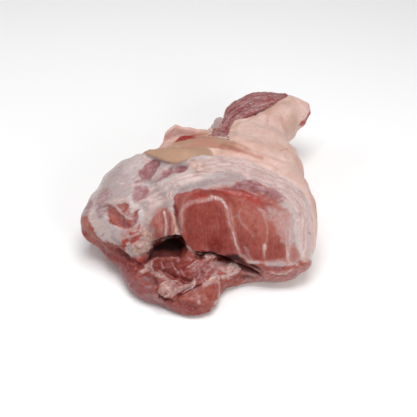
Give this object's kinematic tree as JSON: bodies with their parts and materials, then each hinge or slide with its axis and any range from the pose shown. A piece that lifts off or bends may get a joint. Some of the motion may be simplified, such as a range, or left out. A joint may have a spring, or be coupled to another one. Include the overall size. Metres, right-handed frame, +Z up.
{
  "type": "pork leg",
  "caption": "Raw boned leg of pork with its rind on, lying rind side down: lean cut face in front, a loose flap of meat below it, the bone tunnel open and the shank to the back.",
  "frame": {"origin": "middle of the leg's box, on the surface it lies on", "axes": "+Z up, +Y from the cut thick end towards the shank, along the leg's longest extent"},
  "size_m": [0.2894, 0.3544, 0.1329],
  "materials": {
    "raw_meat": "moist raw lean, pale silverskin and fat, and matt pinkish tan rind"
  },
  "bodies": {
    "root": {"pork_leg": "raw_meat"}
  },
  "joints": []
}
